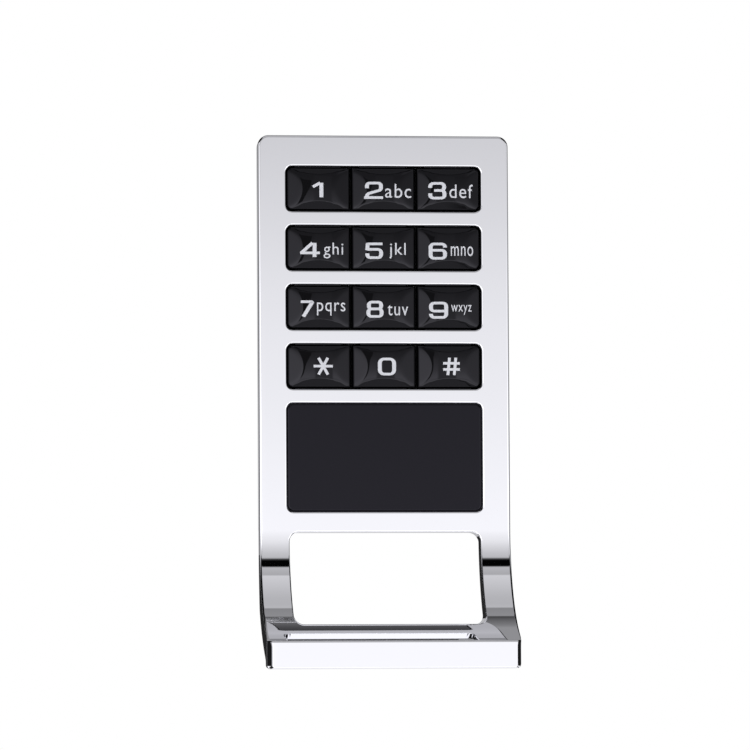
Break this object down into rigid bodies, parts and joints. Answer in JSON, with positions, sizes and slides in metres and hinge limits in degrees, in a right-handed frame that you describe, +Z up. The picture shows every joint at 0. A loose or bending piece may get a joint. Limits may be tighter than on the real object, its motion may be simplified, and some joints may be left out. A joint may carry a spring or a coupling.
{
  "type": "electronic cabinet lock",
  "caption": "Electronic cabinet door lock: chromed plate with a swept pull handle, telephone keypad and card reader window, and a rear case with a battery bay and a motor-driven sliding bolt.",
  "frame": {"origin": "on the door's outer face, which is the back face of the gasket, at the middle of the bar between the reader window and the handle window, on the plate's centre line", "axes": "+X to the right seen from the front, towards the bolt's nose; +Y into the door; +Z up"},
  "size_m": [0.0682, 0.0638, 0.1371],
  "materials": {
    "plate_chrome": "bright chrome plating on a zinc die casting",
    "key_plastic": "glossy moulded black",
    "window_plastic": "glossy black tinted window",
    "case_plastic": "spark-eroded black ABS",
    "mat_silicone": "matt silicone",
    "gasket_foam": "closed-cell foam",
    "board_laminate": "green solder mask on glass laminate",
    "chip_epoxy": "moulded epoxy",
    "coil_copper": "bare copper track",
    "ribbon_film": "flat film cable",
    "bolt_steel": "zinc plated steel",
    "screw_steel": "zinc plated steel",
    "contact_nickel": "nickel plated spring steel",
    "brass": "machined brass",
    "nylon": "natural nylon",
    "cell_sleeve": "plain printed film sleeve",
    "lead_sleeve": "PVC sleeve"
  },
  "bodies": {
    "lock_body": {"front_plate": "plate_chrome", "keypad_mat": "mat_silicone", "reader_window": "window_plastic", "antenna_board": "board_laminate", "antenna_coil": "coil_copper", "reader_ribbon": "ribbon_film", "main_board": "board_laminate", "processor": "chip_epoxy", "buzzer": "chip_epoxy", "lead_socket": "nylon", "board_screw_1": "screw_steel", "board_screw_2": "screw_steel", "door_gasket": "gasket_foam", "thread_insert_1": "brass", "thread_insert_2": "brass", "thread_insert_3": "brass", "thread_insert_4": "brass", "case_screw_1": "screw_steel", "case_screw_2": "screw_steel", "case_screw_3": "screw_steel", "case_screw_4": "screw_steel", "rear_case": "case_plastic", "rear_screw_1": "screw_steel", "rear_screw_2": "screw_steel", "rear_screw_3": "screw_steel", "battery_1": "cell_sleeve", "battery_2": "cell_sleeve", "battery_3": "cell_sleeve", "battery_4": "cell_sleeve", "contact_link_rear": "contact_nickel", "contact_link_front": "contact_nickel", "contact_link_right": "contact_nickel", "contact_plus": "contact_nickel", "contact_minus": "contact_nickel", "gearbox": "brass", "motor_can": "bolt_steel", "motor_bracket": "nylon", "bolt_chassis": "bolt_steel", "bolt_keeper": "bolt_steel", "keeper_screw_1": "screw_steel", "keeper_screw_2": "screw_steel", "motor_lead": "lead_sleeve", "battery_lead": "lead_sleeve"},
    "key_1_cap": {"key_1": "key_plastic"},
    "key_2_cap": {"key_2": "key_plastic"},
    "key_3_cap": {"key_3": "key_plastic"},
    "key_4_cap": {"key_4": "key_plastic"},
    "key_5_cap": {"key_5": "key_plastic"},
    "key_6_cap": {"key_6": "key_plastic"},
    "key_7_cap": {"key_7": "key_plastic"},
    "key_8_cap": {"key_8": "key_plastic"},
    "key_9_cap": {"key_9": "key_plastic"},
    "key_star_cap": {"key_star": "key_plastic"},
    "key_0_cap": {"key_0": "key_plastic"},
    "key_hash_cap": {"key_hash": "key_plastic"},
    "bolt_bar": {"bolt": "bolt_steel"},
    "drive_pinion": {"pinion": "brass", "output_shaft": "bolt_steel"},
    "cover": {"battery_cover": "case_plastic"}
  },
  "joints": [
    {"name": "key_1_press", "type": "slide", "parent": "lock_body", "child": "key_1_cap", "axis": [0, 1, 0], "range_m": [0, 0.001], "stiffness_N_per_m": 500},
    {"name": "key_2_press", "type": "slide", "parent": "lock_body", "child": "key_2_cap", "axis": [0, 1, 0], "range_m": [0, 0.001], "stiffness_N_per_m": 500},
    {"name": "key_3_press", "type": "slide", "parent": "lock_body", "child": "key_3_cap", "axis": [0, 1, 0], "range_m": [0, 0.001], "stiffness_N_per_m": 500},
    {"name": "key_4_press", "type": "slide", "parent": "lock_body", "child": "key_4_cap", "axis": [0, 1, 0], "range_m": [0, 0.001], "stiffness_N_per_m": 500},
    {"name": "key_5_press", "type": "slide", "parent": "lock_body", "child": "key_5_cap", "axis": [0, 1, 0], "range_m": [0, 0.001], "stiffness_N_per_m": 500},
    {"name": "key_6_press", "type": "slide", "parent": "lock_body", "child": "key_6_cap", "axis": [0, 1, 0], "range_m": [0, 0.001], "stiffness_N_per_m": 500},
    {"name": "key_7_press", "type": "slide", "parent": "lock_body", "child": "key_7_cap", "axis": [0, 1, 0], "range_m": [0, 0.001], "stiffness_N_per_m": 500},
    {"name": "key_8_press", "type": "slide", "parent": "lock_body", "child": "key_8_cap", "axis": [0, 1, 0], "range_m": [0, 0.001], "stiffness_N_per_m": 500},
    {"name": "key_9_press", "type": "slide", "parent": "lock_body", "child": "key_9_cap", "axis": [0, 1, 0], "range_m": [0, 0.001], "stiffness_N_per_m": 500},
    {"name": "key_star_press", "type": "slide", "parent": "lock_body", "child": "key_star_cap", "axis": [0, 1, 0], "range_m": [0, 0.001], "stiffness_N_per_m": 500},
    {"name": "key_0_press", "type": "slide", "parent": "lock_body", "child": "key_0_cap", "axis": [0, 1, 0], "range_m": [0, 0.001], "stiffness_N_per_m": 500},
    {"name": "key_hash_press", "type": "slide", "parent": "lock_body", "child": "key_hash_cap", "axis": [0, 1, 0], "range_m": [0, 0.001], "stiffness_N_per_m": 500},
    {"name": "bolt_slide", "type": "slide", "parent": "lock_body", "child": "bolt_bar", "axis": [-1, 0, 0], "range_m": [0, 0.0092]},
    {"name": "pinion_turn", "type": "hinge", "parent": "lock_body", "child": "drive_pinion", "pos_m": [0.01201, 0.02, 0.064], "axis": [0, 0, 1], "range_deg": [0, 132]},
    {"name": "cover_slide", "type": "slide", "parent": "lock_body", "child": "cover", "axis": [0, 0, -1], "range_m": [0, 0.04]}
  ],
  "couplings": [
    {"joint": "pinion_turn", "follows": "bolt_slide", "rad_per_m": 250}
  ]
}
